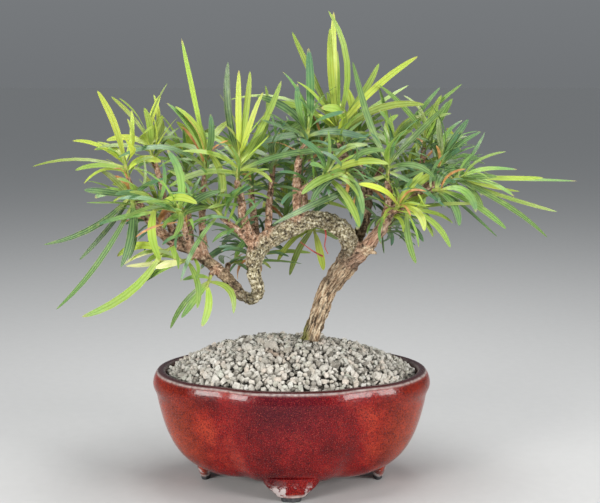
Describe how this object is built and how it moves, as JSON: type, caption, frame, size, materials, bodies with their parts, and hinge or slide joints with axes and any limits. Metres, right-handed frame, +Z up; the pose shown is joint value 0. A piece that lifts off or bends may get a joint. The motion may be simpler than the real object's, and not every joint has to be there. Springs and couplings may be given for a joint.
{
  "type": "potted bonsai tree",
  "caption": "Buddhist pine bonsai: a bent trunk with sprays of strap leaves, standing in grit in a glazed lobed pot on feet.",
  "frame": {"origin": "on the ground, under the middle of the whole plant's box", "axes": "+X along the pot's long side, to the right as seen from the front; the front faces -Y; +Z up"},
  "size_m": [0.4782, 0.2198, 0.4247],
  "materials": {
    "glaze": "deep red mottled glaze, glossy, with bare dark pads under the feet",
    "net": "black plastic net",
    "grit": "dry angular pumice grit, warm grey",
    "bark": "rough grey-tan bark, redder on the twigs",
    "leaf_old": "dark green leaf, satin, with a pale midrib",
    "leaf_mid": "mid green leaf, satin",
    "leaf_new": "yellow-green young leaf, satin"
  },
  "bodies": {
    "root": {"pot": "glaze", "drain_screen_left": "net", "drain_screen_right": "net", "grit": "grit", "wood": "bark", "spray_left_1": "leaf_mid", "spray_left_2": "leaf_new", "spray_left_3": "leaf_mid", "spray_left_4": "leaf_new", "spray_left_5": "leaf_new", "spray_left_6": "leaf_mid", "spray_left_7": "leaf_mid", "spray_left_8": "leaf_mid", "spray_left_9": "leaf_new", "spray_left_10": "leaf_mid", "spray_left_11": "leaf_new", "spray_left_12": "leaf_mid", "spray_knot_1": "leaf_new", "spray_knot_2": "leaf_mid", "spray_knot_3": "leaf_mid", "spray_knot_4": "leaf_old", "spray_knot_5": "leaf_old", "spray_arch_1": "leaf_old", "spray_arch_2": "leaf_mid", "spray_arch_3": "leaf_new", "spray_arch_4": "leaf_mid", "spray_arch_5": "leaf_new", "spray_crown_1": "leaf_new", "spray_crown_2": "leaf_mid", "spray_crown_3": "leaf_new", "spray_crown_4": "leaf_old", "spray_crown_5": "leaf_mid", "spray_crown_6": "leaf_mid", "spray_right_1": "leaf_old", "spray_right_2": "leaf_mid", "spray_right_3": "leaf_old", "spray_right_4": "leaf_mid", "spray_right_5": "leaf_old", "spray_right_6": "leaf_new", "spray_right_7": "leaf_mid", "spray_right_8": "leaf_new", "spray_right_9": "leaf_mid", "spray_right_10": "leaf_old"}
  },
  "joints": []
}
